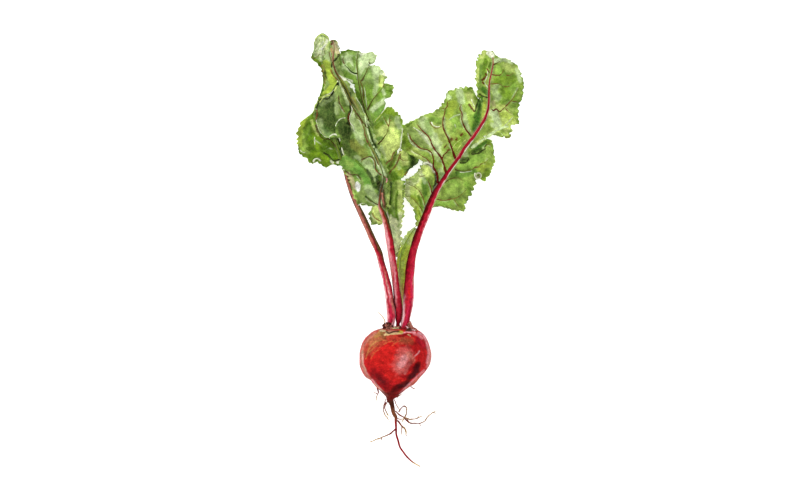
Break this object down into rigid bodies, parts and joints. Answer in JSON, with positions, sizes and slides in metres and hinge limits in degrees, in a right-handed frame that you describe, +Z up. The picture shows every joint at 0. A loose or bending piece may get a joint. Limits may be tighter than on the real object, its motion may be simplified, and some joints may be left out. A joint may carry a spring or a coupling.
{
  "type": "beetroot with leaves",
  "caption": "Whole beetroot lying on its side, with its tail, side roots, crimson leaf stalks and ruffled green leaves.",
  "frame": {"origin": "middle of the small flat spot under the belly of the root, where it rests", "axes": "+Y from the tail of the root to the tips of the leaves, +Z up, +X to the right seen from above"},
  "size_m": [0.2139, 0.4104, 0.0673],
  "materials": {
    "root_skin": "satin",
    "crimson_stalk": "satin",
    "young_stalk": "satin",
    "blade_green": "satin",
    "dusky_green": "satin",
    "young_green": "satin",
    "root_hair": "matte",
    "dry_brown": "matte",
    "straw": "matte"
  },
  "bodies": {
    "root": {"beet_root": "root_skin", "left_stalk": "crimson_stalk", "middle_stalk": "crimson_stalk", "inner_stalk": "crimson_stalk", "right_stalk": "crimson_stalk", "young_stalk": "young_stalk", "left_blade": "blade_green", "middle_blade": "dusky_green", "inner_blade": "blade_green", "right_blade": "blade_green", "young_blade": "young_green", "side_root_1": "root_hair", "side_root_2": "root_hair", "side_root_3": "root_hair", "side_root_4": "root_hair", "side_root_5": "root_hair", "side_root_6": "root_hair", "side_root_7": "root_hair", "side_root_8": "root_hair", "side_root_9": "root_hair", "side_root_10": "root_hair", "side_root_11": "root_hair", "dead_leaf_stub": "dry_brown", "dry_fibre": "straw"}
  },
  "joints": []
}
